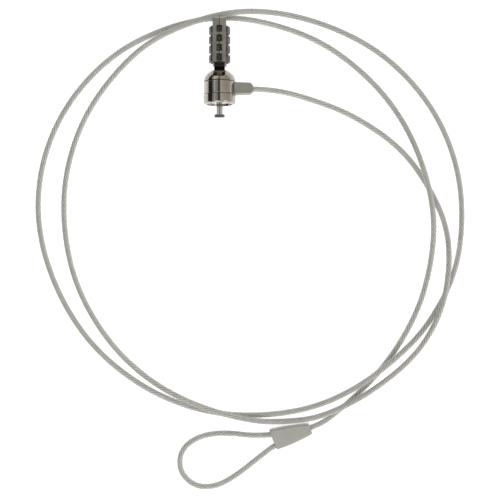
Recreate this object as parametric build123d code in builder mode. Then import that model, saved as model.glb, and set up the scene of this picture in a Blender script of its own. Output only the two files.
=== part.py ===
from build123d import *
import math
import os

# Laptop cable lock: four-dial combination body hinged to a round T-bar head,
# with a jacketed wire-rope cable that ends in a crimped loop.
# Millimetres. The lock lies on its back: +Y runs from the T-bar to the end of the
# combination housing, +Z is up, and the bottom ring rests on z = 0.

# ---- driving dimensions: head ----
lock_end = 30.75         # end of the combination housing; the rest is stacked below it
ring_r = 10.0            # bottom ring, the widest part
ring_height = 5.8
ring_edge = 1.3          # rounding of its lower rim
collar_r = ring_r - 0.25
collar_height = 7.65
seam = 0.3               # groove between parts that turn on each other
hub_r = 6.9              # hub that the collar swivels on
boss_height = 1.9        # part of the hub that belongs to the dome
carrier_height = 2.2     # disc that joins the spindle to the dome
dome_r = ring_r - 0.25
dome_height = 7.7        # flatter than a ball
turn_gap = 0.05          # radial running clearance of turning fits
face_gap = 0.1           # axial clearance of turning faces
washer_height = 0.2
washer_r = ring_r - 0.9

plate_recess = 0.85      # face plate below the seat face
plate_height = 1.2
plate_r = 7.8
clip_room = 1.4          # space behind the face plate for the spindle's clip
clip_room_r = 5.6
clip_height = 0.6
wave_height = 0.3

# ---- driving dimensions: T-bar nose ----
nose_length = 8.3        # seat face to the riveted tip
tbar_width = 6.6
tbar_depth = 2.7
tbar_height = 1.9
rivet_height = 0.1
rivet_r = 0.8
neck_r = 0.9             # spindle inside the slot
spindle_r = 1.9          # spindle inside the head
guide_r = 0.4
guide_wall = 0.12        # between the spindle's hole and a guide pin
guide_gap = 0.15         # guide pins stop short of the T-bar

# ---- driving dimensions: locking plunger ----
travel = 1.2             # plunger and locking rod
pocket_floor = 1.0       # dome wall between hinge slot and plunger pocket
bridge_height = 0.9
bridge_depth = 2.4
leg_x = 4.4
leg_r = 0.9
stem_r = 1.5
bore_gap = 0.1           # radial clearance of the sliding parts
spring_wire = 0.3
spring_seat = 0.6
plunger_spring_r = 1.1
carrier_screw_z = 4.6
carrier_screw_r = 0.8
carrier_head_r = 1.4
stop_pin_at = 6.0        # radius that the stop pin sits at
stop_pin_r = 0.4
stop_depth = 1.2

# ---- driving dimensions: hinge ----
hinge_rise = 5.55        # pin above the dome's lower face
pin_r = 0.8
pin_half = 5.1
knuckle_r = 3.3
slot_half = 3.75
tongue_half = 3.25
slot_back = 4.6          # slot's back wall behind the pin
slot_gap = 0.15
slot_corner = 2.0
knuckle_chamfer = 1.6
hinge_washer_r = 1.4
press_gap = 0.02
fork_half = 1.05         # slot in the tongue for the rod's foot
fork_front = 1.2

# ---- driving dimensions: combination housing ----
housing_rise = 4.95      # housing's lower face above the hinge pin
housing_half_x = 4.15
roof = 0.6               # wall over the dials at the ridge
roof_fall = 0.7          # the front slopes down this much to each side
end_block = 5.06         # plain block past the last dial
end_chamfer = 1.5
cover_split = -3.9       # joint between housing and back cover
side_round = 0.5
dial_count = 4
dial_r = 6.55            # across the corners
dial_width = 4.9
dial_pitch = 5.83
dial_facets = 10
dial_chamfer = 0.45
dial_gap = 0.1           # beside each dial
cavity_gap = 0.25        # round each dial
first_wall = 1.0         # lower face to the first dial's space
window_x = 3.7
window_y = 4.3
index_line = 0.25
index_depth = 0.12
arch_start = 0.1         # arched relief along the lower front edge, in two steps
arch_rise = 1.15
arch_depth = 0.5
arch_step = 0.35         # the deep step stops this much lower
arch_deep = 1.6
cam_r = 4.1
cam_bore = 2.2
cam_flange = 0.5
key_width = 0.8
key_height = 0.6
rod_r = 0.9
fin_width = 0.7
fin_reach = 1.95
fin_height = 0.6
rod_bore = 1.9
collar_on_rod_r = 1.6
reset_height = 1.2
reset_recess = 0.4
rod_spring_r = 1.15
detent_width = 3.4
detent_sheet = 0.2
detent_clear = 0.13
cover_screw_x = 2.6
cover_screw_r = 0.6
cover_head_r = 1.1
cover_head_depth = 0.9
cover_screw_tip = -1.6

# ---- driving dimensions: cable, anchor and crimp ----
cord_r = 2.0
cord_gap = 0.03
anchor_drop = 0.2        # anchor below the collar's middle
anchor_end = 20.0
anchor_wall_y = 0.9      # moulding round the ferrule
anchor_wall_z = 1.3
neck_end = 20.6
ferrule_wall = 0.67
ferrule_head = 0.8
core_start = 12.0        # where the rope ends inside the ferrule
crimp_bevel = 0.7
sleeve_wall = 0.45
sleeve_spread = 5.6
sleeve_half = 2.6

# ---- worked-out places ----
axis_z = ring_r
cavity_width = dial_width + 2 * dial_gap
head_length = ring_height + seam + collar_height + seam + hinge_rise
housing_length = first_wall + cavity_width + (dial_count - 1) * dial_pitch + end_block
seat_y = lock_end - head_length - housing_rise - housing_length
ring_top = seat_y + ring_height
collar_bottom = ring_top + seam
collar_top = collar_bottom + collar_height
dome_bottom = collar_top + seam
boss_bottom = dome_bottom - boss_height
carrier_bottom = boss_bottom - carrier_height
hub_top = carrier_bottom - face_gap
anchor_y = (collar_bottom + collar_top) / 2 - anchor_drop
plate_outer = seat_y + plate_recess
plate_inner = plate_outer + plate_height
hub_floor = plate_inner + clip_room
pin_y = dome_bottom + hinge_rise
slot_floor = pin_y - knuckle_r - slot_gap
pocket_top = slot_floor - pocket_floor
bridge_top = pocket_top - 0.05
bridge_bottom = bridge_top - bridge_height
nose_tip = seat_y - nose_length
tbar_bottom = nose_tip + rivet_height
tbar_top = tbar_bottom + tbar_height
housing_bottom = pin_y + housing_rise
cavity_r = dial_r + cavity_gap
housing_half_z = cavity_r + roof
housing_side_z = housing_half_z - roof_fall
first_dial = housing_bottom + first_wall + cavity_width / 2
dial_ys = [first_dial + dial_pitch * i for i in range(dial_count)]
block_bottom = dial_ys[-1] + cavity_width / 2
housing_end = block_bottom + end_block
rod_bore_bottom = block_bottom + 0.5
reset_top = housing_end - reset_recess
reset_bottom = reset_top - reset_height
clip_r = spindle_r + 1.5
ferrule_r = cord_r + cord_gap + ferrule_wall
ferrule_head_r = ferrule_r + 0.6
ferrule_start = hub_r + 0.3
anchor_start = collar_r - 0.75
anchor_half_y = ferrule_r + anchor_wall_y
anchor_half_z = ferrule_r + anchor_wall_z
neck_half = ferrule_r + 0.2

head_axis = Axis((0, 0, axis_z), (0, 1, 0))

# Cable route. Each point is a corner of the straight runs, which touching arcs round off.
low = cord_r + 0.05      # lying on the surface
high = 3 * cord_r + 0.6  # passing over another strand
mid = 1.6 * cord_r       # inside the crimp
leg_gap = 2.2 * cord_r   # between the two legs in the crimp
crimp_height = 2 * mid + 0.2
turn_1_points = [
    (core_start, anchor_y, axis_z),
    (31, anchor_y, axis_z),
    (54, -17.5, 5.6),
    (83.5, -27.8, low),
    (114, -48.5, low),
    (132, -74, low),
    (142.4, -97.5, low),
    (143.6, -122, high),
    (138.8, -151, high),
    (123.5, -179.3, low),
    (92, -203.2, high),
    (63, -217.1, high),
    (41, -220.6, low),
    (18, -219.3, high),
    (-17, -209.2, high),
    (-47, -193.2, low),
    (-71.5, -169, low),
    (-90.8, -135.4, low),
    (-98.7, -98, low),
    (-97, -61.5, low),
    (-83.5, -24.2, low),
    (-57, 8.7, low),
    (-32, 24.2, high),
    (4, 36.3, high),
]
turn_2_points = [
    (37.5, 37, low),
    (73.6, 26.6, low),
    (106.2, 8.1, low),
    (133.6, -22.3, low),
    (149.3, -58.3, low),
    (152.9, -95, low),
    (147.6, -129.5, low),
    (130.4, -160.6, low),
    (112.2, -178.4, high),
    (87.2, -198, high),
    (58, -212.4, low),
    (22, -217.3, low),
    (-13.4, -214, low),
    (-49, -199.2, low),
    (-81.4, -172.8, low),
    (-103.6, -137.3, low),
    (-115.3, -97, low),
    (-112.5, -57.4, low),
    (-96.8, -21, low),
    (-68.5, 9.9, low),
    (-33.4, 27.6, low),
    (0, 34.4, low),
]
turn_3_points = [
    (32.3, 29.9, low),
    (65.6, 17.5, low),
    (94, -4.6, low),
    (113.5, -28.6, low),
    (126, -56.5, high),
    (133.9, -88.8, high),
    (133.3, -119, low),
    (124.2, -152.6, low),
    (103, -187, low),
    (77, -212, low),
    (58.5, -225.2, mid),
]
loop_points = [
    (24, -229.6, mid),
    (3, -227, low),
    (-14, -229.6, low),
    (-24.9, -238.5, low),
    (-25.4, -251.8, low),
    (-15.8, -261.2, low),
    (-2.5, -261.3, low),
    (10.5, -254, low),
    (24.5, -242.8, low),
    (35.5, -229.6 - leg_gap, mid),
    (44, -227.1 - leg_gap, mid),
]
route = turn_1_points + turn_2_points + turn_3_points + loop_points


# ---- helpers ----
def side_plane():
    """The plane that turned parts are drawn on: x is the radius, y the height."""
    return Plane((0, 0, axis_z), x_dir=(1, 0, 0), z_dir=(0, 0, 1))


def cross_plane(y):
    """Across the head's axis at height y, facing +Y, with x to +X and y to -Z."""
    return Plane((0, y, axis_z), x_dir=(1, 0, 0), z_dir=(0, 1, 0))


def hinge_plane(x):
    """Across the hinge pin, with x along +Y and y along +Z."""
    return Plane((x, pin_y, axis_z), x_dir=(0, 1, 0), z_dir=(1, 0, 0))


def finish(part, name):
    part.label = name
    export_step(part, f"parts/{name}.step")
    return part


def coil_spring(radius, wire, bottom, top, turns):
    """A compression spring on the head's axis."""
    height = top - bottom - 2 * wire
    with BuildPart() as spring:
        with BuildLine() as path:
            Helix(
                pitch=height / turns,
                height=height,
                radius=radius,
                center=(0, bottom + wire, axis_z),
                direction=(0, 1, 0),
            )
        with BuildSketch(Plane(origin=path.line @ 0, z_dir=path.line % 0)):
            Circle(wire)
        sweep()
    return spring.part


def bend_radii(points):
    """0.45 of the shorter run over the tangent of half the turn, for each corner."""
    radii = []
    for before, here, after in zip(points, points[1:], points[2:]):
        inward = Vector(*here) - Vector(*before)
        outward = Vector(*after) - Vector(*here)
        half_turn = math.radians(inward.get_angle(outward)) / 2
        run = min(inward.length, outward.length)
        radii.append(0.45 * run / math.tan(half_turn))
    return radii


def middle(a, b):
    return tuple((p + q) / 2 for p, q in zip(a, b))


def tube(points, radii, radius):
    """A round tube along straight runs joined by tangent arcs."""
    with BuildPart() as hose:
        with BuildLine() as path:
            FilletPolyline(*points, radius=radii)
        with BuildSketch(Plane(origin=path.line @ 0, z_dir=path.line % 0)):
            Circle(radius)
        sweep()
    return hose.part, path.wires()[0].length


# ---- head: base that seats on the laptop ----
def make_bottom_ring():
    hub_bore = spindle_r + turn_gap
    with BuildPart() as ring:
        with BuildSketch(side_plane()):
            with BuildLine():
                Polyline(
                    (plate_r + press_gap, seat_y),
                    (ring_r, seat_y),
                    (ring_r, ring_top),
                    (hub_r, ring_top),
                    (hub_r, hub_top),
                    (hub_bore, hub_top),
                    (hub_bore, hub_floor),
                    (clip_room_r, hub_floor),
                    (clip_room_r, plate_inner),
                    (plate_r + press_gap, plate_inner),
                    close=True,
                )
            make_face()
        revolve(axis=head_axis)
        lowest = ring.edges().filter_by(GeomType.CIRCLE).group_by(Axis.Y)[0]
        fillet(lowest.sort_by(SortBy.RADIUS)[-1], ring_edge)
        with BuildSketch(cross_plane(hub_top)):
            with PolarLocations(leg_x, 4):
                Circle(leg_r + bore_gap)
        extrude(amount=-(travel + 0.3), mode=Mode.SUBTRACT)
        # arc groove that lets the stop pin turn a quarter circle
        with BuildSketch(cross_plane(hub_top)):
            SlotArc(stop_arc, 2 * (stop_pin_r + bore_gap))
        extrude(amount=-(stop_depth + 0.1), mode=Mode.SUBTRACT)
    return finish(ring.part, "bottom_ring")


def make_face_plate():
    with BuildPart() as plate:
        with BuildSketch(cross_plane(plate_outer)):
            Circle(plate_r)
            Circle(neck_r + turn_gap, mode=Mode.SUBTRACT)
            with Locations((-guide_x, 0), (guide_x, 0)):
                Circle(guide_r, mode=Mode.SUBTRACT)
        extrude(amount=plate_height)
        chamfer(plate.edges().filter_by(GeomType.CIRCLE).sort_by(SortBy.RADIUS)[-2:], 0.15)
    return finish(plate.part, "face_plate")


def make_guide_pins():
    with BuildPart() as pins:
        with BuildSketch(cross_plane(tbar_top + guide_gap)):
            with Locations((-guide_x, 0), (guide_x, 0)):
                Circle(guide_r)
        extrude(amount=plate_inner - tbar_top - guide_gap)
    return finish(pins.part, "guide_pins")


def make_ring_washer(name, bottom):
    with BuildPart() as washer:
        with BuildSketch(cross_plane(bottom)):
            Circle(washer_r)
            Circle(hub_r + turn_gap, mode=Mode.SUBTRACT)
        extrude(amount=washer_height)
    return finish(washer.part, name)


# ---- head: collar that the cable is anchored to ----
def make_collar():
    with BuildPart() as collar:
        with BuildSketch(cross_plane(collar_bottom)):
            Circle(collar_r)
            Circle(hub_r + turn_gap, mode=Mode.SUBTRACT)
        extrude(amount=collar_height)
        rims = collar.edges().filter_by(GeomType.CIRCLE).sort_by(SortBy.RADIUS)[-2:]
        fillet(rims, 0.35)
        ferrule_plane = Plane((0, anchor_y, axis_z), x_dir=(0, 1, 0), z_dir=(1, 0, 0))
        with BuildSketch(ferrule_plane):
            Circle(ferrule_r + press_gap)
        extrude(amount=collar_r + 1, mode=Mode.SUBTRACT)
        with BuildSketch(ferrule_plane):
            Circle(ferrule_head_r + press_gap)
        extrude(amount=ferrule_start + ferrule_head, mode=Mode.SUBTRACT)
    return finish(collar.part, "swivel_collar")


# ---- head: dome, carrier, spindle and T-bar ----
def make_dome():
    with BuildPart() as dome:
        with BuildSketch(side_plane()):
            with BuildLine():
                EllipticalCenterArc((0, dome_bottom), dome_r, dome_height, arc_size=90)
                Polyline(
                    (0, dome_bottom + dome_height),
                    (0, boss_bottom),
                    (hub_r, boss_bottom),
                    (hub_r, dome_bottom),
                    (dome_r, dome_bottom),
                )
            make_face()
        revolve(axis=head_axis)
        # hinge slot, open to the front and the top, with rounded lower corners
        slot_top = dome_bottom + dome_height + 1
        with BuildSketch(Plane.XY.offset(axis_z - slot_back)):
            with BuildLine():
                FilletPolyline(
                    (-slot_half, slot_top),
                    (-slot_half, slot_floor),
                    (slot_half, slot_floor),
                    (slot_half, slot_top),
                    radius=slot_corner,
                )
                Line((slot_half, slot_top), (-slot_half, slot_top))
            make_face()
        extrude(amount=slot_back + dome_r + 1, mode=Mode.SUBTRACT)
        with BuildSketch(hinge_plane(-dome_r)):
            Circle(pin_r + press_gap)
        extrude(amount=2 * dome_r, mode=Mode.SUBTRACT)
        # stem hole, plunger pocket and screw holes, all from below
        with BuildSketch(cross_plane(boss_bottom)):
            Circle(stem_r + bore_gap)
        extrude(amount=slot_floor - boss_bottom + 0.5, mode=Mode.SUBTRACT)
        with BuildSketch(cross_plane(boss_bottom)):
            SlotCenterToCenter(2 * leg_x, bridge_depth + 2 * bore_gap)
        extrude(amount=pocket_top - boss_bottom, mode=Mode.SUBTRACT)
        with BuildSketch(cross_plane(boss_bottom)):
            with Locations((0, carrier_screw_z), (0, -carrier_screw_z)):
                Circle(carrier_screw_r)
        extrude(amount=2.4, mode=Mode.SUBTRACT)
    return finish(dome.part, "head_dome")


def make_carrier():
    square = 1.3 * spindle_r
    with BuildPart() as carrier:
        with BuildSketch(cross_plane(carrier_bottom)):
            Circle(hub_r)
            Rectangle(square, square, mode=Mode.SUBTRACT)
            with Locations((leg_x, 0), (-leg_x, 0)):
                Circle(leg_r + bore_gap, mode=Mode.SUBTRACT)
            with Locations((0, carrier_screw_z), (0, -carrier_screw_z)):
                Circle(carrier_screw_r, mode=Mode.SUBTRACT)
            with PolarLocations(stop_pin_at, 1, start_angle=stop_angle):
                Circle(stop_pin_r, mode=Mode.SUBTRACT)
        extrude(amount=carrier_height)
        with BuildSketch(cross_plane(boss_bottom)):
            Circle(plunger_spring_r + spring_wire + bore_gap)
        extrude(amount=-spring_seat, mode=Mode.SUBTRACT)
        with BuildSketch(cross_plane(carrier_bottom)):
            with Locations((0, carrier_screw_z), (0, -carrier_screw_z)):
                Circle(carrier_head_r)
        extrude(amount=1.0, mode=Mode.SUBTRACT)
    return finish(carrier.part, "spindle_carrier")


def make_carrier_screws():
    with BuildPart() as screws:
        with BuildSketch(cross_plane(carrier_bottom + 0.1)):
            with Locations((0, carrier_screw_z), (0, -carrier_screw_z)):
                Circle(carrier_head_r - 0.05)
        extrude(amount=0.9)
        with BuildSketch(cross_plane(carrier_bottom + 1.0)):
            with Locations((0, carrier_screw_z), (0, -carrier_screw_z)):
                Circle(carrier_screw_r)
        extrude(amount=carrier_height - 1.0 + 2.2)
        with BuildSketch(cross_plane(carrier_bottom + 0.1)):
            with Locations((0, carrier_screw_z), (0, -carrier_screw_z)):
                Rectangle(2 * carrier_head_r, 0.4)
        extrude(amount=0.4, mode=Mode.SUBTRACT)
    return finish(screws.part, "carrier_screws")


def make_stop_pin():
    with BuildPart() as pin:
        with BuildSketch(cross_plane(hub_top - stop_depth)):
            with PolarLocations(stop_pin_at, 1, start_angle=stop_angle):
                Circle(stop_pin_r)
        extrude(amount=boss_bottom - hub_top + stop_depth)
    return finish(pin.part, "stop_pin")


def make_spindle():
    square = 1.3 * spindle_r
    with BuildPart() as spindle:
        with BuildSketch(cross_plane(nose_tip)):
            Circle(rivet_r)
        extrude(amount=rivet_height + tbar_height)
        with BuildSketch(cross_plane(tbar_top)):
            Circle(neck_r)
        extrude(amount=plate_inner + 0.1 - tbar_top)
        with BuildSketch(cross_plane(plate_inner + 0.1)):
            Circle(spindle_r)
        extrude(amount=carrier_bottom - plate_inner - 0.1)
        with BuildSketch(cross_plane(carrier_bottom)):
            Rectangle(square - 2 * press_gap, square - 2 * press_gap)
        extrude(amount=carrier_height - spring_seat)
        # groove for the retaining clip
        with BuildSketch(cross_plane(clip_bottom)):
            Circle(spindle_r + 1)
            Circle(spindle_r - 0.5, mode=Mode.SUBTRACT)
        extrude(amount=clip_height, mode=Mode.SUBTRACT)
    return finish(spindle.part, "t_bar_spindle")


def make_t_bar():
    with BuildPart() as bar:
        with BuildSketch(cross_plane(tbar_bottom)):
            Rectangle(tbar_width, tbar_depth)
            Circle(rivet_r, mode=Mode.SUBTRACT)
        extrude(amount=tbar_height)
        upright = bar.edges().filter_by(Axis.Y)
        corners = upright.sort_by(lambda edge: -abs(edge.center().X))[:4]
        fillet(corners, 0.7)
        ends = bar.faces().sort_by(Axis.Y)
        chamfer(ends[0].outer_wire().edges(), 0.35)
    return finish(bar.part, "t_bar")


def make_retaining_clip():
    with BuildPart() as clip:
        with BuildSketch(cross_plane(clip_bottom)):
            Circle(clip_r)
            Circle(spindle_r - 0.5, mode=Mode.SUBTRACT)
            with Locations((0, clip_r)):
                Rectangle(2 * spindle_r - 1.2, 2 * clip_r, mode=Mode.SUBTRACT)
        extrude(amount=clip_height)
    return finish(clip.part, "retaining_clip")


def make_spring_washer():
    with BuildPart() as washer:
        with BuildSketch(cross_plane(hub_floor - wave_height - 0.05)):
            Circle(clip_r + 0.6)
            Circle(spindle_r + bore_gap, mode=Mode.SUBTRACT)
        extrude(amount=wave_height)
    return finish(washer.part, "spring_washer")


def make_plunger():
    with BuildPart() as plunger:
        with BuildSketch(cross_plane(bridge_bottom)):
            SlotCenterToCenter(2 * leg_x, bridge_depth)
        extrude(amount=bridge_height)
        with BuildSketch(cross_plane(bridge_top)):
            Circle(stem_r)
        extrude(amount=slot_floor - bridge_top + slot_gap / 2)
        with BuildSketch(cross_plane(carrier_bottom + 0.05)):
            with Locations((leg_x, 0), (-leg_x, 0)):
                Circle(leg_r)
        extrude(amount=bridge_bottom - carrier_bottom - 0.05)
    return finish(plunger.part, "plunger")


# ---- hinge ----
def make_hinge_pin():
    with BuildPart() as pin:
        with BuildSketch(hinge_plane(-pin_half)):
            Circle(pin_r)
        extrude(amount=2 * pin_half)
        chamfer(pin.edges().filter_by(GeomType.CIRCLE), 0.15)
    return finish(pin.part, "hinge_pin")


def make_hinge_washers():
    gap = slot_half - tongue_half
    with BuildPart() as washers:
        for start in (-slot_half + 0.1 * gap, tongue_half + 0.1 * gap):
            with BuildSketch(hinge_plane(start)):
                Circle(hinge_washer_r)
                Circle(pin_r + press_gap, mode=Mode.SUBTRACT)
            extrude(amount=0.8 * gap)
    return finish(washers.part, "hinge_washers")


# ---- combination housing ----
def housing_outline():
    """Cross-section of housing and cover: flat back, shallow roof in front."""
    return [
        (-housing_half_x, -housing_half_z),
        (housing_half_x, -housing_half_z),
        (housing_half_x, housing_side_z),
        (0, housing_half_z),
        (-housing_half_x, housing_side_z),
    ]


def housing_block():
    """Housing and back cover as one block, before it is split and hollowed."""
    section = Plane((0, housing_bottom, axis_z), x_dir=(-1, 0, 0), z_dir=(0, 1, 0))
    with BuildPart() as block:
        with BuildSketch(section):
            with BuildLine():
                Polyline(*housing_outline(), close=True)
            make_face()
        extrude(amount=housing_end - housing_bottom)
        backs = block.edges().filter_by(Axis.Y).sort_by(Axis.Z)[:2]
        fillet(backs, side_round)
        # bevelled end: a bevelled plate across each way, common to both
        for plane, half in ((Plane.XY, housing_half_x), (Plane.ZY, housing_half_z)):
            centre = 0 if plane == Plane.XY else axis_z
            with BuildSketch(plane):
                with BuildLine():
                    Polyline(
                        (centre - half, housing_bottom),
                        (centre - half, housing_end - end_chamfer),
                        (centre - half + end_chamfer, housing_end),
                        (centre + half - end_chamfer, housing_end),
                        (centre + half, housing_end - end_chamfer),
                        (centre + half, housing_bottom),
                        close=True,
                    )
                make_face()
            extrude(amount=2 * ring_r, both=True, mode=Mode.INTERSECT)
        for y in dial_ys:
            with BuildSketch(cross_plane(y - cavity_width / 2)):
                Circle(cavity_r)
            extrude(amount=cavity_width, mode=Mode.SUBTRACT)
        with BuildSketch(cross_plane(housing_bottom)):
            Circle(rod_r + bore_gap)
            with Locations((0, -fin_reach / 2)):
                Rectangle(fin_width + 0.2, fin_reach + 0.2)
        extrude(amount=rod_bore_bottom - housing_bottom, mode=Mode.SUBTRACT)
        with BuildSketch(cross_plane(rod_bore_bottom)):
            Circle(rod_bore)
        extrude(amount=housing_end - rod_bore_bottom, mode=Mode.SUBTRACT)
        # recess for the detent spring, behind the dials
        with BuildSketch(cross_plane(detent_start - 0.1)):
            with Locations((0, detent_low)):
                Rectangle(detent_width + 0.2, detent_sheet + 0.1)
        extrude(amount=detent_end - detent_start + 0.2, mode=Mode.SUBTRACT)
        # cover screws: head sunk in the back, shank up into the end block
        for radius, depth in (
            (cover_head_r + 0.05, cover_head_depth + 0.1),
            (cover_screw_r, housing_half_z + cover_screw_tip),
        ):
            with BuildSketch(Plane.XY.offset(axis_z - housing_half_z)):
                with Locations(*cover_screw_places):
                    Circle(radius)
            extrude(amount=depth, mode=Mode.SUBTRACT)
    return block.part


def tongue_block():
    """The hinge knuckle and its shoulder, which stops the housing in line with the head."""
    rise = housing_bottom - pin_y
    with BuildPart() as tongue:
        with BuildSketch(hinge_plane(-tongue_half)):
            Circle(knuckle_r)
        extrude(amount=2 * tongue_half)
        # ends cut off to suit the slot's rounded corners at any tilt
        chamfer(tongue.edges().filter_by(GeomType.CIRCLE), knuckle_chamfer)
        with BuildSketch(hinge_plane(-tongue_half)):
            with Locations((rise / 2, (knuckle_r - slot_back + 0.1) / 2)):
                Rectangle(rise, knuckle_r + slot_back - 0.1)
        extrude(amount=2 * tongue_half)
        with BuildSketch(hinge_plane(-tongue_half)):
            Circle(pin_r + turn_gap)
        extrude(amount=2 * tongue_half, mode=Mode.SUBTRACT)
    return tongue.part


def make_housing(block):
    fork_top = housing_bottom + first_wall
    with BuildPart() as housing:
        add(block)
        split(bisect_by=Plane.XY.offset(axis_z + cover_split), keep=Keep.TOP)
        add(tongue_block())
        with BuildSketch(Plane.YZ.offset(-fork_half)):
            with Locations(((slot_floor + fork_top) / 2, axis_z + (fork_front - slot_back) / 2)):
                Rectangle(fork_top - slot_floor, fork_front + slot_back)
        extrude(amount=2 * fork_half, mode=Mode.SUBTRACT)
        # windows over the dials
        with BuildSketch(Plane.XY.offset(axis_z + dial_r - 1)):
            for y in dial_ys:
                with Locations((0, y)):
                    RectangleRounded(window_x, window_y, 0.5)
        extrude(amount=housing_half_z, mode=Mode.SUBTRACT)
        # index line along the ridge
        with BuildSketch(Plane.XY.offset(axis_z + housing_half_z - index_depth)):
            with Locations((0, (housing_bottom + housing_end) / 2)):
                Rectangle(index_line, housing_end - housing_bottom)
        extrude(amount=1, mode=Mode.SUBTRACT)
        # arched relief along the lower front edge
        for rise, depth in ((arch_rise, arch_depth), (arch_rise - arch_step, arch_deep)):
            arch_r = (housing_half_x**2 + rise**2) / (2 * rise)
            with BuildSketch(Plane.XY.offset(axis_z + housing_half_z - depth)):
                with Locations((0, housing_bottom + arch_start + rise - arch_r)):
                    Circle(arch_r)
            extrude(amount=depth + 1, mode=Mode.SUBTRACT)
    return finish(housing.part, "combination_housing")


def make_cover(block):
    with BuildPart() as cover:
        add(block)
        split(bisect_by=Plane.XY.offset(axis_z + cover_split), keep=Keep.BOTTOM)
    return finish(cover.part, "housing_back_cover")


def make_cover_screws():
    head_start = axis_z - housing_half_z + 0.1
    with BuildPart() as screws:
        with BuildSketch(Plane.XY.offset(head_start)):
            with Locations(*cover_screw_places):
                Circle(cover_head_r)
        extrude(amount=cover_head_depth)
        with BuildSketch(Plane.XY.offset(head_start + cover_head_depth)):
            with Locations(*cover_screw_places):
                Circle(cover_screw_r)
        extrude(amount=housing_half_z + cover_screw_tip - cover_head_depth - 0.1)
        with BuildSketch(Plane.XY.offset(head_start)):
            with Locations(*cover_screw_places):
                Rectangle(2 * cover_head_r, 0.35)
                Rectangle(0.35, 2 * cover_head_r)
        extrude(amount=0.4, mode=Mode.SUBTRACT)
    return finish(screws.part, "cover_screws")


def make_detent_spring():
    """One steel strip with a finger behind each dial."""
    with BuildPart() as strip:
        with BuildSketch(cross_plane(detent_start)):
            with Locations((0, detent_low)):
                Rectangle(detent_width, detent_sheet)
        extrude(amount=detent_end - detent_start)
        with BuildSketch(Plane.XY.offset(axis_z - detent_low - 1)):
            for y in dial_ys[1:]:
                with Locations((detent_width / 4, y - dial_pitch / 2)):
                    Rectangle(detent_width / 2 + 0.4, 0.4)
        extrude(amount=2, mode=Mode.SUBTRACT)
    return finish(strip.part, "detent_spring")


def make_dial(index, y):
    bore = cam_r + turn_gap
    with BuildPart() as dial:
        with BuildSketch(cross_plane(y - dial_width / 2)):
            RegularPolygon(dial_r, dial_facets, rotation=90 - 180 / dial_facets)
        extrude(amount=dial_width)
        ends = dial.faces().sort_by(Axis.Y)
        chamfer(ends[0].edges() + ends[-1].edges(), dial_chamfer)
        with BuildSketch(cross_plane(y - dial_width / 2)):
            Circle(bore)
            with Locations((0, -bore)):
                Rectangle(key_width + 0.1, 2 * key_height + 0.1)
        extrude(amount=dial_width, mode=Mode.SUBTRACT)
    return finish(dial.part, f"dial_wheel_{index}")


def make_cam(index, y):
    """Sleeve in a dial: its flange lets the rod's fin pass at one place only."""
    with BuildPart() as cam:
        with BuildSketch(cross_plane(y - dial_width / 2)):
            Circle(cam_r)
            with Locations((0, -cam_r)):
                Rectangle(key_width, 2 * key_height)
            Circle(cam_bore, mode=Mode.SUBTRACT)
        extrude(amount=dial_width)
        with BuildSketch(cross_plane(y - cam_flange / 2)):
            Circle(cam_bore + 0.1)
            Circle(rod_r + bore_gap, mode=Mode.SUBTRACT)
            with Locations((0, -cam_bore / 2)):
                Rectangle(fin_width + 0.2, cam_bore, mode=Mode.SUBTRACT)
        extrude(amount=cam_flange)
    return finish(cam.part, f"dial_cam_{index}")


def make_locking_rod():
    """Rod through all the dials, with a fin just above each cam's flange when unlocked."""
    fin_bottom = cam_flange / 2 + (travel - cam_flange - fin_height) / 2
    with BuildPart() as rod:
        with BuildSketch(cross_plane(foot_top)):
            Circle(rod_r)
        extrude(amount=rod_top - foot_top)
        with BuildSketch(cross_plane(foot_top)):
            Circle(rod_tenon_r)
        extrude(amount=-rod_tenon)
        with BuildSketch(cross_plane(rod_flange_bottom)):
            Circle(collar_on_rod_r)
        extrude(amount=0.4)
        for y in dial_ys:
            with BuildSketch(cross_plane(y + fin_bottom)):
                with Locations((0, -fin_reach / 2)):
                    Rectangle(fin_width, fin_reach)
            extrude(amount=fin_height)
    return finish(rod.part, "locking_rod")


def make_rod_foot():
    """Hook on the rod that passes behind the hinge pin and pushes the plunger."""
    back = foot_back
    front = 1.1
    arm_front = pin_r + 0.25
    top = foot_top - pin_y
    under = top - 1.2
    bar_top = pin_r + 0.15
    bar_bottom = bar_top + 0.85
    finger_bottom = knuckle_r - 0.1
    with BuildPart() as foot:
        with BuildSketch(hinge_plane(-foot_half)):
            with BuildLine():
                Polyline(
                    (top, -back),
                    (top, front),
                    (under, front),
                    (under, -arm_front),
                    (-bar_top, -arm_front),
                    (-bar_top, foot_half),
                    (-finger_bottom, foot_half),
                    (-finger_bottom, -foot_half),
                    (-bar_bottom, -foot_half),
                    (-bar_bottom, -back),
                    close=True,
                )
            make_face()
        extrude(amount=2 * foot_half)
        with BuildSketch(cross_plane(foot_top)):
            Circle(rod_tenon_r)
        extrude(amount=-rod_tenon, mode=Mode.SUBTRACT)
    return finish(foot.part, "rod_foot")


def make_reset_screw():
    with BuildPart() as screw:
        with BuildSketch(cross_plane(reset_bottom)):
            Circle(rod_bore - turn_gap)
        extrude(amount=reset_height)
        chamfer(screw.edges().filter_by(GeomType.CIRCLE).sort_by(Axis.Y)[-1], 0.2)
        with BuildSketch(cross_plane(reset_top)):
            Rectangle(2 * rod_bore, 0.5)
        extrude(amount=-0.5, mode=Mode.SUBTRACT)
        with BuildSketch(cross_plane(reset_bottom)):
            Circle(rod_spring_r + spring_wire / 2 + bore_gap)
        extrude(amount=0.5, mode=Mode.SUBTRACT)
    return finish(screw.part, "reset_screw")


# ---- anchor at the collar ----
def ferrule_plane(x):
    return Plane((x, anchor_y, axis_z), x_dir=(0, 1, 0), z_dir=(1, 0, 0))


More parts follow.
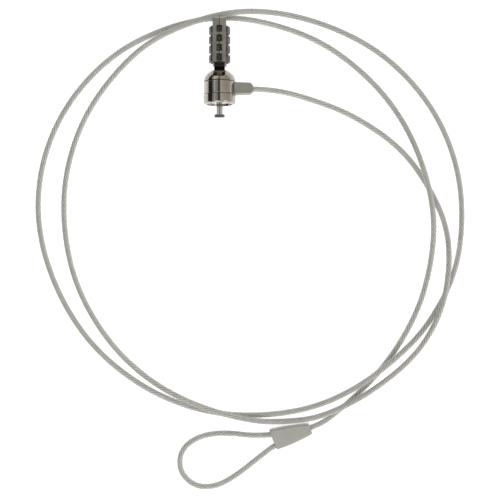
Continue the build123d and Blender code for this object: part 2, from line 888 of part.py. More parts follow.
def make_anchor_ferrule():
    with BuildPart() as ferrule:
        with BuildSketch(ferrule_plane(ferrule_start)):
            Circle(ferrule_head_r)
        extrude(amount=ferrule_head)
        with BuildSketch(ferrule_plane(ferrule_start)):
            Circle(ferrule_r)
        extrude(amount=anchor_end - ferrule_start)
        with BuildSketch(ferrule_plane(core_start)):
            Circle(cord_r + cord_gap)
        extrude(amount=anchor_end - core_start, mode=Mode.SUBTRACT)
    return finish(ferrule.part, "anchor_ferrule")


def make_anchor_cover():
    """Moulded block round the ferrule, slightly tapered, with a short neck."""
    taper = 0.35
    with BuildPart() as cover:
        with BuildSketch(Plane.XY.offset(axis_z - anchor_half_z)):
            with BuildLine():
                FilletPolyline(
                    (anchor_start, anchor_y - anchor_half_y),
                    (anchor_end, anchor_y - anchor_half_y + taper),
                    (anchor_end, anchor_y + anchor_half_y - taper),
                    (anchor_start, anchor_y + anchor_half_y),
                    radius=1.4,
                )
                Line(
                    (anchor_start, anchor_y + anchor_half_y),
                    (anchor_start, anchor_y - anchor_half_y),
                )
            make_face()
        extrude(amount=2 * anchor_half_z)
        top = cover.faces().sort_by(Axis.Z)[-1]
        bottom = cover.faces().sort_by(Axis.Z)[0]
        fillet(top.edges() + bottom.edges(), 0.5)
        with BuildSketch(ferrule_plane(anchor_end)):
            Circle(neck_half)
        extrude(amount=neck_end - anchor_end, taper=12)
        with BuildSketch(ferrule_plane(anchor_start)):
            Circle(ferrule_r)
        extrude(amount=anchor_end - anchor_start, mode=Mode.SUBTRACT)
        with BuildSketch(ferrule_plane(anchor_start)):
            Circle(cord_r + cord_gap)
        extrude(amount=neck_end - anchor_start, mode=Mode.SUBTRACT)
        # hollow inner end that follows the collar
        with BuildSketch(cross_plane(anchor_y - anchor_half_y - 1)):
            Circle(collar_r + cord_gap)
        extrude(amount=2 * anchor_half_y + 2, mode=Mode.SUBTRACT)
    return finish(cover.part, "anchor_cover")


# ---- crimp ----
crimp_outline = [(55.6, -221.4), (57.9, -227.4), (35.7, -237.4), (30.6, -225.3)]


def make_crimp(bores):
    with BuildPart() as crimp:
        with BuildSketch():
            with BuildLine():
                Line(crimp_outline[0], crimp_outline[1])
                ThreePointArc(crimp_outline[1], (47.2, -232.9), crimp_outline[2])
                Line(crimp_outline[2], crimp_outline[3])
                ThreePointArc(crimp_outline[3], (43.0, -222.95), crimp_outline[0])
            make_face()
            fillet(vertices(), 1.0)
        extrude(amount=crimp_height)
        chamfer(crimp.faces().sort_by(Axis.Z)[-1].edges(), crimp_bevel)
        for bore in bores:
            add(bore, mode=Mode.SUBTRACT)
        add(sleeve_block(), mode=Mode.SUBTRACT)
    return finish(crimp.part, "crimp_cover")


def sleeve_block():
    """Pressed sleeve round both legs of the loop, inside the crimp."""
    plane = Plane((40.3, -230, mid), x_dir=(-0.262, 0.965, 0), z_dir=(0.965, 0.262, 0))
    height = 2 * (cord_r + sleeve_wall)
    with BuildPart() as sleeve:
        with BuildSketch(plane):
            SlotCenterToCenter(sleeve_spread, height)
        extrude(amount=sleeve_half, both=True)
    return sleeve.part


def make_crimp_sleeve(bores):
    with BuildPart() as sleeve:
        add(sleeve_block())
        for bore in bores:
            add(bore, mode=Mode.SUBTRACT)
    return finish(sleeve.part, "crimp_sleeve")


# ---- cable ----
def cable_path(first, last, radii):
    """Route points first to last with half a run added at each open end, and their radii."""
    points = route[first:last + 1]
    if first > 0:
        points = [middle(route[first - 1], route[first])] + points
    if last < len(route) - 1:
        points = points + [middle(route[last], route[last + 1])]
    return points, radii[max(first, 1) - 1:min(last, len(route) - 2)]


def make_cable():
    radii = bend_radii(route)
    print("bend radii:", [round(r, 1) for r in radii])
    first = 0
    total = 0
    for name, points in cable_nodes.items():
        last = first + len(points) - 1
        part, length = tube(*cable_path(first, last, radii), cord_r)
        finish(part, name)
        share = part.volume / (math.pi * cord_r**2 * length)
        print(name, "length", round(length, 1), "volume over section x length", round(share, 4))
        total += length
        first = last + 1
    print("cable length", round(total, 1))


def crimp_bores():
    """The two paths of the cable through the crimp, with their clearance."""
    radii = bend_radii(route)
    entry = len(route) - len(loop_points) - 1
    main_bore, _ = tube(*cable_path(entry, entry + 1, radii), cord_r + cord_gap)
    end = len(route) - 1
    loop_bore, _ = tube(*cable_path(end - 1, end, radii), cord_r + cord_gap)
    return [main_bore, loop_bore]


# ---- values that several makers share ----
guide_x = neck_r + turn_gap + guide_wall + guide_r
clip_bottom = hub_floor - wave_height - 0.1 - clip_height
stop_angle = 45
stop_arc = CenterArc((0, 0), stop_pin_at, stop_angle, 90)
detent_low = dial_r + detent_clear + detent_sheet / 2
detent_start = dial_ys[0] - dial_width / 2
detent_end = dial_ys[-1] + dial_width / 2
cover_screw_y = housing_end - 2.75
cover_screw_places = [(cover_screw_x, cover_screw_y), (-cover_screw_x, cover_screw_y)]
foot_half = rod_r
foot_back = 2.9
foot_top = housing_bottom - 0.2
rod_tenon = 0.9
rod_tenon_r = 0.5
rod_flange_bottom = rod_bore_bottom + travel + 0.05
rod_top = rod_flange_bottom + 1.1
cable_nodes = {
    "cable_turn_1": turn_1_points,
    "cable_turn_2": turn_2_points,
    "cable_turn_3": turn_3_points,
    "cable_loop": loop_points,
}

os.makedirs("parts", exist_ok=True)
make_bottom_ring()
make_face_plate()
make_guide_pins()
make_ring_washer("lower_swivel_washer", ring_top + (seam - washer_height) / 2)
make_ring_washer("upper_swivel_washer", collar_top + (seam - washer_height) / 2)
make_collar()
make_dome()
make_carrier()
make_carrier_screws()
make_stop_pin()
make_spindle()
make_t_bar()
make_retaining_clip()
make_spring_washer()
make_plunger()
finish(
    coil_spring(plunger_spring_r, spring_wire / 2, boss_bottom - spring_seat, bridge_bottom, 4),
    "plunger_spring",
)
make_hinge_pin()
make_hinge_washers()
housing_and_cover = housing_block()
make_housing(housing_and_cover)
make_cover(housing_and_cover)
make_cover_screws()
make_detent_spring()
for number, dial_y in enumerate(dial_ys, 1):
    make_dial(number, dial_y)
    make_cam(number, dial_y)
make_locking_rod()
make_rod_foot()
finish(
    coil_spring(rod_spring_r, spring_wire / 2, rod_flange_bottom + 0.4, reset_bottom + 0.5, 4),
    "rod_spring",
)
make_reset_screw()
make_anchor_ferrule()
make_anchor_cover()
bores_in_crimp = crimp_bores()
make_crimp(bores_in_crimp)
make_crimp_sleeve(bores_in_crimp)
make_cable()
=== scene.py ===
import math

import bpy
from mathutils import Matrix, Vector


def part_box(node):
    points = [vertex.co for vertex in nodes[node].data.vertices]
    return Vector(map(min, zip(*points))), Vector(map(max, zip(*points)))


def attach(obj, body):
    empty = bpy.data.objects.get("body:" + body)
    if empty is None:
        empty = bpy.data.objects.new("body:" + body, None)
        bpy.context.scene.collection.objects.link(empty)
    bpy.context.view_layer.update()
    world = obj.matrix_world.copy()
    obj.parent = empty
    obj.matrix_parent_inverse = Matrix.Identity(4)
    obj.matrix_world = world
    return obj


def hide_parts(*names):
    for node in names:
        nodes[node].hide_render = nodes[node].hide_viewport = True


# Looks of the laptop cable lock: camera, cable, digits, materials, floor and light.
# Metres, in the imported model's frame: +Y along the lock, +Z up, floor at z = 0.

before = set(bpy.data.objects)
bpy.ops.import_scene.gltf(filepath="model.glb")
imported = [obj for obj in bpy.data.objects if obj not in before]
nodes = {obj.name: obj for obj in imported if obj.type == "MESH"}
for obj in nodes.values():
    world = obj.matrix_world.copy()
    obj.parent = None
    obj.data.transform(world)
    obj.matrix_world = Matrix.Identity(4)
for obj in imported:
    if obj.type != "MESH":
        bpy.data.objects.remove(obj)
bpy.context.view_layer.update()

AXIS_Z = 0.010

# zones of the housing for the painted shade and the ridge line, in metres
TONGUE_TOP = 0.00214        # below this y only the tongue is left
ARCH_TOP = 0.0031
ARCH_FRONT = 0.0159         # the arched recess lies under this height
RIDGE_HALF = 0.00018
ZONE_EDGE = 0.00002
RIDGE_EDGE = 0.00006


def link(name, data):
    obj = bpy.data.objects.new(name, data)
    bpy.context.scene.collection.objects.link(obj)
    return obj


# ---- camera: straight above, as in the photograph ----
camera_data = bpy.data.cameras.new("camera")
camera_data.sensor_width = 36
camera_data.lens = 36 * 0.620 / 0.315
camera = link("camera", camera_data)
camera.location = (0.01884, -0.11265, 0.620)
bpy.context.scene.camera = camera


# ---- material helpers ----
def new_material(name):
    material = bpy.data.materials.new(name)
    material.use_nodes = True
    tree = material.node_tree
    return material, tree, tree.nodes["Principled BSDF"]


def object_coords(tree, stretch=(1, 1, 1)):
    coords = tree.nodes.new("ShaderNodeTexCoord")
    mapping = tree.nodes.new("ShaderNodeMapping")
    mapping.inputs["Scale"].default_value = stretch
    tree.links.new(coords.outputs["Object"], mapping.inputs["Vector"])
    return mapping.outputs["Vector"]


def noise(tree, vector, scale, detail=4.0, roughness=0.6):
    node = tree.nodes.new("ShaderNodeTexNoise")
    node.inputs["Scale"].default_value = scale
    node.inputs["Detail"].default_value = detail
    node.inputs["Roughness"].default_value = roughness
    tree.links.new(vector, node.inputs["Vector"])
    return node.outputs["Fac"]


def spread(tree, value, low, high, start=0.3, end=0.7):
    node = tree.nodes.new("ShaderNodeMapRange")
    node.inputs["From Min"].default_value = start
    node.inputs["From Max"].default_value = end
    node.inputs["To Min"].default_value = low
    node.inputs["To Max"].default_value = high
    tree.links.new(value, node.inputs["Value"])
    return node.outputs["Result"]


def blend_colours(tree, value, first, second, start=0.35, end=0.65):
    ramp = tree.nodes.new("ShaderNodeValToRGB")
    ramp.color_ramp.elements[0].position = start
    ramp.color_ramp.elements[0].color = (*first, 1)
    ramp.color_ramp.elements[1].position = end
    ramp.color_ramp.elements[1].color = (*second, 1)
    tree.links.new(value, ramp.inputs["Fac"])
    return ramp.outputs["Color"]


def bump(tree, shader, height, strength, distance):
    node = tree.nodes.new("ShaderNodeBump")
    node.inputs["Strength"].default_value = strength
    node.inputs["Distance"].default_value = distance
    tree.links.new(height, node.inputs["Height"])
    tree.links.new(node.outputs["Normal"], shader.inputs["Normal"])


def metal(name, first, second, rough, grain, stretch=(1, 1, 1), relief=0.15, coat=0.0):
    """Plated or bare metal: patchy colour, uneven polish and a fine directional grain."""
    material, tree, shader = new_material(name)
    shader.inputs["Metallic"].default_value = 1
    shader.inputs["Coat Weight"].default_value = coat
    even = object_coords(tree)
    drawn = object_coords(tree, stretch)
    patches = noise(tree, even, 160, 3)
    fine = noise(tree, drawn, grain, 6, 0.7)
    tree.links.new(blend_colours(tree, patches, first, second), shader.inputs["Base Color"])
    tree.links.new(spread(tree, fine, *rough), shader.inputs["Roughness"])
    bump(tree, shader, fine, relief, 0.00002)
    return material


def moulded(name, first, second, rough, relief):
    """Moulded plastic: fine spark-eroded grain over slow colour variation."""
    material, tree, shader = new_material(name)
    shader.inputs["Specular IOR Level"].default_value = 0.5
    even = object_coords(tree)
    patches = noise(tree, even, 220, 3)
    grain = noise(tree, even, 5200, 3)
    tree.links.new(blend_colours(tree, patches, first, second), shader.inputs["Base Color"])
    tree.links.new(spread(tree, grain, *rough), shader.inputs["Roughness"])
    bump(tree, shader, grain, relief, 0.00003)
    return material


def below(tree, value, limit, soft):
    """1 where the value is under the limit, 0 above it, with a soft step."""
    node = tree.nodes.new("ShaderNodeMapRange")
    node.inputs["From Min"].default_value = limit - soft
    node.inputs["From Max"].default_value = limit + soft
    node.inputs["To Min"].default_value = 1
    node.inputs["To Max"].default_value = 0
    tree.links.new(value, node.inputs["Value"])
    return node.outputs["Result"]


def combine(tree, operation, first, second):
    """A math node on two sockets."""
    node = tree.nodes.new("ShaderNodeMath")
    node.operation = operation
    tree.links.new(first, node.inputs[0])
    tree.links.new(second, node.inputs[1])
    return node.outputs["Value"]


def mix_colour(tree, share, first, second):
    """Mix of two colour sockets, the second where share is 1."""
    node = tree.nodes.new("ShaderNodeMix")
    node.data_type = "RGBA"
    inputs = {i.name: i for i in node.inputs if i.type == "RGBA"}
    tree.links.new(share, node.inputs["Factor"])
    tree.links.new(first, inputs["A"])
    if isinstance(second, tuple):
        inputs["B"].default_value = (*second, 1)
    else:
        tree.links.new(second, inputs["B"])
    return [o for o in node.outputs if o.type == "RGBA"][0]


polished_nickel = metal("polished_nickel", (0.38, 0.36, 0.325), (0.43, 0.415, 0.385), (0.10, 0.17), 2600,
                        (1, 0.15, 1), 0.05)
dome_nickel = metal("dome_nickel", (0.34, 0.325, 0.29), (0.39, 0.375, 0.345), (0.16, 0.25),
                    2600, (1, 1, 1), 0.06)
bright_chrome = metal("bright_chrome", (0.74, 0.74, 0.74), (0.80, 0.80, 0.80), (0.10, 0.18),
                      3000, (1, 1, 1), 0.06)
satin_nickel = metal("satin_nickel", (0.36, 0.355, 0.325), (0.42, 0.42, 0.40), (0.26, 0.38), 3200,
                     (1, 0.08, 1), 0.10)
dial_nickel = metal("dial_nickel", (0.11, 0.11, 0.10), (0.16, 0.16, 0.15), (0.40, 0.54),
                    2800, (1, 0.3, 1), 0.12)
tool_steel = metal("tool_steel", (0.30, 0.30, 0.30), (0.38, 0.38, 0.38), (0.28, 0.40),
                   2400, (1, 1, 0.2), 0.15)
spring_steel = metal("spring_steel", (0.52, 0.52, 0.53), (0.60, 0.60, 0.60), (0.18, 0.28),
                     3000, (1, 1, 1), 0.08)
brass = metal("cam_brass", (0.66, 0.50, 0.25), (0.72, 0.57, 0.30), (0.22, 0.34), 2500, (1, 0.3, 1), 0.12)
soft_aluminium = metal("soft_aluminium", (0.62, 0.62, 0.62), (0.70, 0.70, 0.70), (0.30, 0.42),
                       1800, (0.2, 1, 1), 0.18)
nose_chrome = metal("nose_chrome", (0.42, 0.42, 0.42), (0.52, 0.52, 0.52), (0.16, 0.28),
                    2400, (1, 0.2, 1), 0.12)

# painted shade and painted reflection: on the tongue and in the recess under the arched edge the colour runs
# from dark grey to black as painted shade, and lower down the tongue turns a lighter brown, a painted
# reflection of the lit slot floor; the ridge has a dark line
housing_look = metal("housing_nickel", (0.27, 0.262, 0.23), (0.33, 0.33, 0.31), (0.26, 0.38), 3200,
                     (1, 0.08, 1), 0.10)
tree = housing_look.node_tree
shader = tree.nodes["Principled BSDF"]
split = tree.nodes.new("ShaderNodeSeparateXYZ")
tree.links.new(object_coords(tree), split.inputs["Vector"])


plated = shader.inputs["Base Color"].links[0].from_socket
along = tree.nodes.new("ShaderNodeMapRange")
along.inputs["From Min"].default_value = -0.006
along.inputs["From Max"].default_value = 0.003
tree.links.new(split.outputs["Y"], along.inputs["Value"])
shade = tree.nodes.new("ShaderNodeValToRGB")
tree.links.new(along.outputs["Result"], shade.inputs["Fac"])
# painted shade and painted reflection down the tongue: lighter brown at the bottom for the lit slot floor,
# then black, then dark grey up to the arched edge
shade_stops = [
    (0.0, (0.42, 0.35, 0.28)),
    (0.40, (0.36, 0.30, 0.24)),
    (0.48, (0.012, 0.012, 0.012)),
    (0.70, (0.012, 0.012, 0.012)),
    (0.76, (0.08, 0.085, 0.08)),
    (1.0, (0.10, 0.105, 0.10)),
]
shade.color_ramp.elements[0].color = (*shade_stops[0][1], 1)
shade.color_ramp.elements[1].color = (*shade_stops[-1][1], 1)
for place, colour in shade_stops[1:-1]:
    shade.color_ramp.elements.new(place).color = (*colour, 1)
# masks for where the painted shade and reflection go: the tongue, and the recess under the arched edge
tongue_zone = below(tree, split.outputs["Y"], TONGUE_TOP, ZONE_EDGE)
arch_zone = combine(tree, "MULTIPLY", below(tree, split.outputs["Y"], ARCH_TOP, ZONE_EDGE),
                    below(tree, split.outputs["Z"], ARCH_FRONT, ZONE_EDGE))
painted_light_zone = combine(tree, "MAXIMUM", tongue_zone, arch_zone)
centre = tree.nodes.new("ShaderNodeMath")
centre.operation = "ABSOLUTE"
tree.links.new(split.outputs["X"], centre.inputs[0])
ridge_line = below(tree, centre.outputs["Value"], RIDGE_HALF, RIDGE_EDGE)
ridged = mix_colour(tree, ridge_line, plated, (0.05, 0.05, 0.05))
tree.links.new(mix_colour(tree, painted_light_zone, ridged, shade.outputs["Color"]), shader.inputs["Base Color"])

black_seal = moulded("black_seal", (0.012, 0.012, 0.012), (0.02, 0.02, 0.02), (0.5, 0.65), 0.2)
grey_moulding = moulded("grey_moulding", (0.47, 0.475, 0.455), (0.51, 0.515, 0.495), (0.36, 0.48), 0.12)
dark_moulding = moulded("dark_moulding", (0.29, 0.29, 0.255), (0.33, 0.33, 0.295), (0.36, 0.48), 0.12)
black_paint = moulded("black_paint", (0.008, 0.008, 0.008), (0.014, 0.014, 0.014), (0.42, 0.55), 0.08)

looks = {
    "bottom_ring": polished_nickel,
    "swivel_collar": polished_nickel,
    "head_dome": dome_nickel,
    "face_plate": bright_chrome,
    "guide_pins": nose_chrome,
    "t_bar": nose_chrome,
    "t_bar_spindle": nose_chrome,
    "combination_housing": housing_look,
    "housing_back_cover": satin_nickel,
    "cover_screws": tool_steel,
    "hinge_pin": spring_steel,
    "hinge_washers": spring_steel,
    "reset_screw": spring_steel,
    "lower_swivel_washer": black_seal,
    "upper_swivel_washer": black_seal,
    "spindle_carrier": tool_steel,
    "carrier_screws": tool_steel,
    "stop_pin": tool_steel,
    "retaining_clip": spring_steel,
    "spring_washer": spring_steel,
    "plunger": tool_steel,
    "plunger_spring": spring_steel,
    "locking_rod": tool_steel,
    "rod_foot": tool_steel,
    "rod_spring": spring_steel,
    "detent_spring": spring_steel,
    "anchor_ferrule": soft_aluminium,
    "crimp_sleeve": soft_aluminium,
    "anchor_cover": dark_moulding,
    "crimp_cover": grey_moulding,
}
for k in range(1, 5):
    looks[f"dial_wheel_{k}"] = dial_nickel
    looks[f"dial_cam_{k}"] = brass
for name, material in looks.items():
    nodes[name].data.materials.clear()
    nodes[name].data.materials.append(material)

# ---- cable: one jacketed wire rope on the route that part.py gives, in metres ----
LOW = 0.00205
HIGH = 0.0066
MID = 0.0032
route = [
    (0.012, -0.012725, 0.010), (0.031, -0.012725, 0.010), (0.054, -0.0175, 0.0056),
    (0.0835, -0.0278, LOW), (0.114, -0.0485, LOW), (0.132, -0.074, LOW),
    (0.1424, -0.0975, LOW), (0.1436, -0.122, HIGH), (0.1388, -0.151, HIGH),
    (0.1235, -0.1793, LOW), (0.092, -0.2032, HIGH), (0.063, -0.2171, HIGH),
    (0.041, -0.2206, LOW), (0.018, -0.2193, HIGH), (-0.017, -0.2092, HIGH),
    (-0.047, -0.1932, LOW), (-0.0715, -0.169, LOW), (-0.0908, -0.1354, LOW),
    (-0.0987, -0.098, LOW), (-0.097, -0.0615, LOW), (-0.0835, -0.0242, LOW),
    (-0.057, 0.0087, LOW), (-0.032, 0.0242, HIGH), (0.004, 0.0363, HIGH),
    (0.0375, 0.037, LOW), (0.0736, 0.0266, LOW), (0.1062, 0.0081, LOW),
    (0.1336, -0.0223, LOW), (0.1493, -0.0583, LOW), (0.1529, -0.095, LOW),
    (0.1476, -0.1295, LOW), (0.1304, -0.1606, LOW), (0.1122, -0.1784, HIGH),
    (0.0872, -0.198, HIGH), (0.058, -0.2124, LOW), (0.022, -0.2173, LOW),
    (-0.0134, -0.214, LOW), (-0.049, -0.1992, LOW), (-0.0814, -0.1728, LOW),
    (-0.1036, -0.1373, LOW), (-0.1153, -0.097, LOW), (-0.1125, -0.0574, LOW),
    (-0.0968, -0.021, LOW), (-0.0685, 0.0099, LOW), (-0.0334, 0.0276, LOW),
    (0, 0.0344, LOW),
    (0.0323, 0.0299, LOW), (0.0656, 0.0175, LOW), (0.094, -0.0046, LOW),
    (0.1135, -0.0286, LOW), (0.126, -0.0565, HIGH), (0.1339, -0.0888, HIGH),
    (0.1333, -0.119, LOW), (0.1242, -0.1526, LOW), (0.103, -0.187, LOW),
    (0.077, -0.212, LOW), (0.0585, -0.2252, MID),
    (0.024, -0.2296, MID), (0.003, -0.227, LOW), (-0.014, -0.2296, LOW),
    (-0.0249, -0.2385, LOW), (-0.0254, -0.2518, LOW), (-0.0158, -0.2612, LOW),
    (-0.0025, -0.2613, LOW), (0.0105, -0.254, LOW), (0.0245, -0.2428, LOW),
    (0.0355, -0.234, MID), (0.044, -0.2315, MID),
]
CABLE_R = 0.002
STRAND_R = 0.00068
STRAND_AT = 0.00102
LAY = 0.0185


def route_curve(name, resolution):
    data = bpy.data.curves.new(name, "CURVE")
    data.dimensions = "3D"
    data.resolution_u = resolution
    spline = data.splines.new("NURBS")
    spline.points.add(len(route) - 1)
    for point, place in zip(spline.points, route):
        point.co = (*place, 1)
    spline.order_u = 3
    spline.use_endpoint_u = True
    return data


def line_of(data):
    """Points read back from a curve that has no bevel."""
    obj = link("route_line", data)
    mesh = bpy.data.meshes.new_from_object(obj)
    points = [v.co.copy() for v in mesh.vertices]
    bpy.data.objects.remove(obj)
    return points


def even_steps(points, step):
    """The same line with points a fixed step apart, and each one's distance along it."""
    lengths = [0.0]
    for a, b in zip(points, points[1:]):
        lengths.append(lengths[-1] + (b - a).length)
    count = int(lengths[-1] / step)
    result = []
    i = 0
    for n in range(count + 1):
        s = lengths[-1] * n / count
        while i < len(points) - 2 and lengths[i + 1] < s:
            i += 1
        share = (s - lengths[i]) / max(lengths[i + 1] - lengths[i], 1e-9)
        result.append((points[i].lerp(points[i + 1], share), s))
    return result


def frames_along(places):
    """A side and an up direction at each point that don't twist."""
    side = None
    frames = []
    for i, (here, s) in enumerate(places):
        ahead = places[min(i + 1, len(places) - 1)][0] - places[max(i - 1, 0)][0]
        ahead.normalize()
        if side is None:
            side = ahead.cross(Vector((0, 0, 1))).normalized()
        side = (side - ahead * side.dot(ahead)).normalized()
        frames.append((here, s, side, ahead.cross(side)))
    return frames


def twisted_strands(frames, count, sides):
    """Right-hand laid strands round the centreline, with UVs along and round each one."""
    verts = []
    faces = []
    uvs = []
    for k in range(count):
        base = len(verts)
        for here, s, side, up in frames:
            turn = -2 * math.pi * (s / LAY + k / count)
            out = side * math.cos(turn) + up * math.sin(turn)
            across = up * math.cos(turn) - side * math.sin(turn)
            centre = here + out * STRAND_AT
            for j in range(sides):
                a = 2 * math.pi * j / sides
                verts.append(centre + (out * math.cos(a) + across * math.sin(a)) * STRAND_R)
        for i in range(len(frames) - 1):
            for j in range(sides):
                a = base + i * sides + j
                b = base + i * sides + (j + 1) % sides
                faces.append((a, b, b + sides, a + sides))
                v0 = frames[i][1]
                v1 = frames[i + 1][1]
                u0 = j / sides
                u1 = (j + 1) / sides
                uvs += [(u0, v0), (u1, v0), (u1, v1), (u0, v1)]
        for row in (0, len(frames) - 1):
            start = base + row * sides
            ring = list(range(start, start + sides))
            faces.append(ring if row else ring[::-1])
            uvs += [(0, 0)] * sides
    mesh = bpy.data.meshes.new("cable_strands")
    mesh.from_pydata(verts, [], faces)
    layer = mesh.uv_layers.new(name="lay")
    flat = [value for uv in uvs for value in uv]
    layer.data.foreach_set("uv", flat)
    mesh.polygons.foreach_set("use_smooth", [True] * len(mesh.polygons))
    return mesh


jacket_data = route_curve("cable_jacket", 14)
jacket_data.bevel_depth = CABLE_R
jacket_data.bevel_resolution = 5
jacket_data.use_fill_caps = True
jacket = link("cable_jacket", jacket_data)
frames_of_route = frames_along(even_steps(line_of(route_curve("route_line", 20)), 0.0012))
strands = link("cable_strands", twisted_strands(frames_of_route, 6, 9))

jacket_look, tree, shader = new_material("clear_jacket")
shader.inputs["IOR"].default_value = 1.5
shader.inputs["Alpha"].default_value = 0.20
film = noise(tree, object_coords(tree), 900, 3)
tree.links.new(blend_colours(tree, film, (0.62, 0.63, 0.62), (0.74, 0.75, 0.74)), shader.inputs["Base Color"])
tree.links.new(spread(tree, film, 0.10, 0.22), shader.inputs["Roughness"])
bump(tree, shader, film, 0.05, 0.00005)
jacket_data.materials.append(jacket_look)

# each strand's wires run round it, so the grain follows the UVs
strand_look, tree, shader = new_material("rope_strands")
shader.inputs["Metallic"].default_value = 0.35
uv = tree.nodes.new("ShaderNodeUVMap")
uv.uv_map = "lay"
wire_map = tree.nodes.new("ShaderNodeMapping")
wire_map.inputs["Scale"].default_value = (6, 700, 1)
tree.links.new(uv.outputs["UV"], wire_map.inputs["Vector"])
wires = tree.nodes.new("ShaderNodeTexWave")
wires.wave_type = "BANDS"
wires.bands_direction = "DIAGONAL"
wires.inputs["Scale"].default_value = 0.5
wires.inputs["Distortion"].default_value = 0.3
tree.links.new(wire_map.outputs["Vector"], wires.inputs["Vector"])
dirt = noise(tree, object_coords(tree), 420, 4)
# painted shade: away from its outward crown each strand turns near black, standing in for the shade in the
# gaps between strands
crown = tree.nodes.new("ShaderNodeSeparateXYZ")
tree.links.new(uv.outputs["UV"], crown.inputs["Vector"])
side = tree.nodes.new("ShaderNodeMath")
side.operation = "PINGPONG"
side.inputs[1].default_value = 0.5
tree.links.new(crown.outputs["X"], side.inputs[0])
wire_colour = blend_colours(tree, dirt, (0.62, 0.625, 0.61), (0.76, 0.765, 0.75))
painted_gap_shade = spread(tree, side.outputs["Value"], 0, 1, 0.12, 0.24)
tree.links.new(mix_colour(tree, painted_gap_shade, wire_colour, (0.07, 0.07, 0.068)), shader.inputs["Base Color"])
tree.links.new(spread(tree, dirt, 0.28, 0.42), shader.inputs["Roughness"])
bump(tree, shader, wires.outputs["Fac"], 0.6, 0.00008)
strands.data.materials.append(strand_look)

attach(jacket, "collar")
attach(strands, "collar")
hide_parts("cable_turn_1", "cable_turn_2", "cable_turn_3", "cable_loop")

# ---- digits on the dials ----
DIAL_APOTHEM = 0.00655 * math.cos(math.pi / 10)
DIGIT_W = 0.0031
DIGIT_H = 0.0039
TOP_DIGITS = {1: 6, 2: 3, 3: 0, 4: 9}


def digit_shape(digit):
    """One digit as a flat mesh, fitted to the space on a facet."""
    data = bpy.data.curves.new(f"digit_{digit}", "FONT")
    data.body = str(digit)
    data.size = 1
    data.offset = 0.03
    data.resolution_u = 4
    obj = link(f"digit_{digit}", data)
    bpy.context.view_layer.update()
    mesh = bpy.data.meshes.new_from_object(obj.evaluated_get(bpy.context.evaluated_depsgraph_get()))
    bpy.data.objects.remove(obj)
    xs = [v.co.x for v in mesh.vertices]
    ys = [v.co.y for v in mesh.vertices]
    width = max(max(xs) - min(xs), 0.42)
    mid_x = (max(xs) + min(xs)) / 2
    mid_y = (max(ys) + min(ys)) / 2
    height = max(ys) - min(ys)
    points = [((v.co.x - mid_x) / width * DIGIT_W, (v.co.y - mid_y) / height * DIGIT_H)
              for v in mesh.vertices]
    return points, [tuple(p.vertices) for p in mesh.polygons]


shapes = [digit_shape(d) for d in range(10)]
for k in range(1, 5):
    low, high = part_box(f"dial_wheel_{k}")
    middle = (low[1] + high[1]) / 2
    verts = []
    faces = []
    for facet in range(10):
        points, polygons = shapes[(TOP_DIGITS[k] + facet) % 10]
        angle = math.radians(36 * facet)
        right = Vector((math.cos(angle), 0, -math.sin(angle)))
        outward = Vector((math.sin(angle), 0, math.cos(angle)))
        centre = Vector((0, middle, AXIS_Z)) + outward * (DIAL_APOTHEM + 0.000012)
        base = len(verts)
        verts += [centre + right * x + Vector((0, y, 0)) for x, y in points]
        faces += [tuple(base + i for i in polygon) for polygon in polygons]
    mesh = bpy.data.meshes.new(f"dial_digits_{k}")
    mesh.from_pydata(verts, [], faces)
    mesh.materials.append(black_paint)
    digits = link(f"dial_digits_{k}", mesh)
    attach(digits, f"dial_{k}")

# ---- floor ----
floor_mesh = bpy.data.meshes.new("floor")
floor_mesh.from_pydata([(-4, -4, 0), (4, -4, 0), (4, 4, 0), (-4, 4, 0)], [], [(0, 1, 2, 3)])
floor = link("floor", floor_mesh)
floor_look, tree, shader = new_material("pale_floor")
shader.inputs["Roughness"].default_value = 0.9
shader.inputs["Specular IOR Level"].default_value = 0.1
shader.inputs["Emission Color"].default_value = (1, 1, 1, 1)
shader.inputs["Emission Strength"].default_value = 0.72
paper = noise(tree, object_coords(tree), 60, 3)
paper_colour = blend_colours(tree, paper, (0.84, 0.84, 0.84), (0.86, 0.86, 0.86))
tree.links.new(paper_colour, shader.inputs["Base Color"])
floor_mesh.materials.append(floor_look)

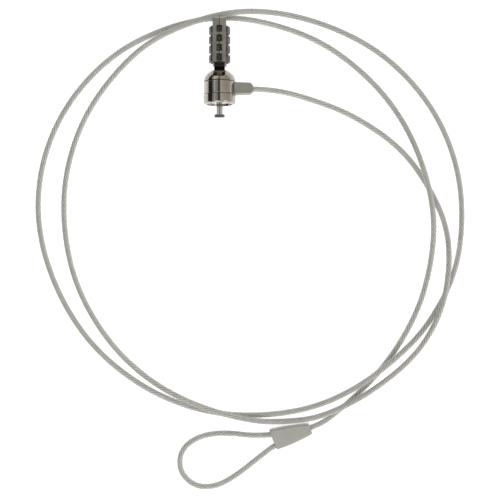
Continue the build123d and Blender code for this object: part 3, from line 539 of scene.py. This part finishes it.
# ---- light: a soft room with a dark strip to the left and one overhead ----
world = bpy.data.worlds.new("studio")
bpy.context.scene.world = world
world.use_nodes = True
tree = world.node_tree
background = tree.nodes["Background"]
coords = tree.nodes.new("ShaderNodeTexCoord")
split = tree.nodes.new("ShaderNodeSeparateXYZ")
tilt = tree.nodes.new("ShaderNodeMath")
tilt.operation = "ARCTAN2"
tree.links.new(coords.outputs["Generated"], split.inputs["Vector"])
tree.links.new(split.outputs["X"], tilt.inputs[0])
tree.links.new(split.outputs["Z"], tilt.inputs[1])
across = tree.nodes.new("ShaderNodeMapRange")
across.inputs["From Min"].default_value = -math.pi / 2
across.inputs["From Max"].default_value = math.pi / 2
tree.links.new(tilt.outputs["Value"], across.inputs["Value"])
sky = tree.nodes.new("ShaderNodeValToRGB")
tree.links.new(across.outputs["Result"], sky.inputs["Fac"])
stops = [
    (-90, (0.03, 0.03, 0.03)),
    (-54, (0.02, 0.02, 0.02)),
    (-49, (0.30, 0.30, 0.27)),
    (-14, (0.34, 0.335, 0.30)),
    (-9, (0.07, 0.065, 0.06)),
    (5, (0.07, 0.065, 0.06)),
    (9, (0.66, 0.62, 0.58)),
    (24, (0.50, 0.465, 0.435)),
    (60, (0.42, 0.39, 0.365)),
    (90, (0.50, 0.48, 0.45)),
]
elements = sky.color_ramp.elements
elements[0].position = 0
elements[0].color = (*stops[0][1], 1)
elements[1].position = 1
elements[1].color = (*stops[-1][1], 1)
for angle, colour in stops[1:-1]:
    element = elements.new((angle + 90) / 180)
    element.color = (*colour, 1)
tree.links.new(sky.outputs["Color"], background.inputs["Color"])
background.inputs["Strength"].default_value = 1.3


def area_light(name, place, target, size, power, colour=(1, 1, 1)):
    data = bpy.data.lights.new(name, "AREA")
    data.shape = "RECTANGLE"
    data.size = size[0]
    data.size_y = size[1]
    data.energy = power
    data.color = colour
    lamp = link(name, data)
    lamp.location = place
    lamp.rotation_euler = (Vector(target) - Vector(place)).to_track_quat("-Z", "Y").to_euler()
    return lamp


area_light("key", (-0.6, -1.8, 1.4), (0, -0.1, 0), (1.6, 1.2), 16, (1, 0.99, 0.97))
area_light("fill", (1.3, -0.9, 1.2), (0, -0.1, 0), (1.2, 1.2), 6, (1, 0.98, 0.96))
area_light("top", (-0.9, 1.1, 1.5), (0, -0.1, 0), (1.6, 1.2), 4, (1, 0.99, 0.97))

bpy.context.scene.view_settings.view_transform = "Standard"
